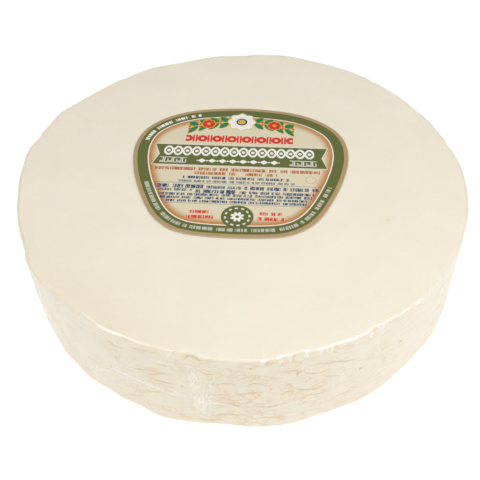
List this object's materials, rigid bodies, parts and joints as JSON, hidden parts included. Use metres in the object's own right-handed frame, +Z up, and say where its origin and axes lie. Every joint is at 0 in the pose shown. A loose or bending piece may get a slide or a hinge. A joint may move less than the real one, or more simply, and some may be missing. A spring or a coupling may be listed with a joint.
{
  "type": "wrapped ricotta salata wheel",
  "caption": "Whole low wheel of white pressed ricotta salata with crumbly sides, tightly wrapped in clear film, with a printed shield-shaped label flat on its top.",
  "frame": {"origin": "centre of the wheel's flat base, on the surface it rests on", "axes": "+Z up along the wheel's axis, -Y towards the side whose label reads upright, +X to the right of it"},
  "size_m": [0.256, 0.2554, 0.0596],
  "materials": {
    "wrapped_curd": "matt cream-white curd under clear glossy film",
    "printed_label": "printed film label with a satin sheen, olive, tan and cream"
  },
  "bodies": {
    "root": {"cheese_wheel": "wrapped_curd", "label": "printed_label"}
  },
  "joints": []
}
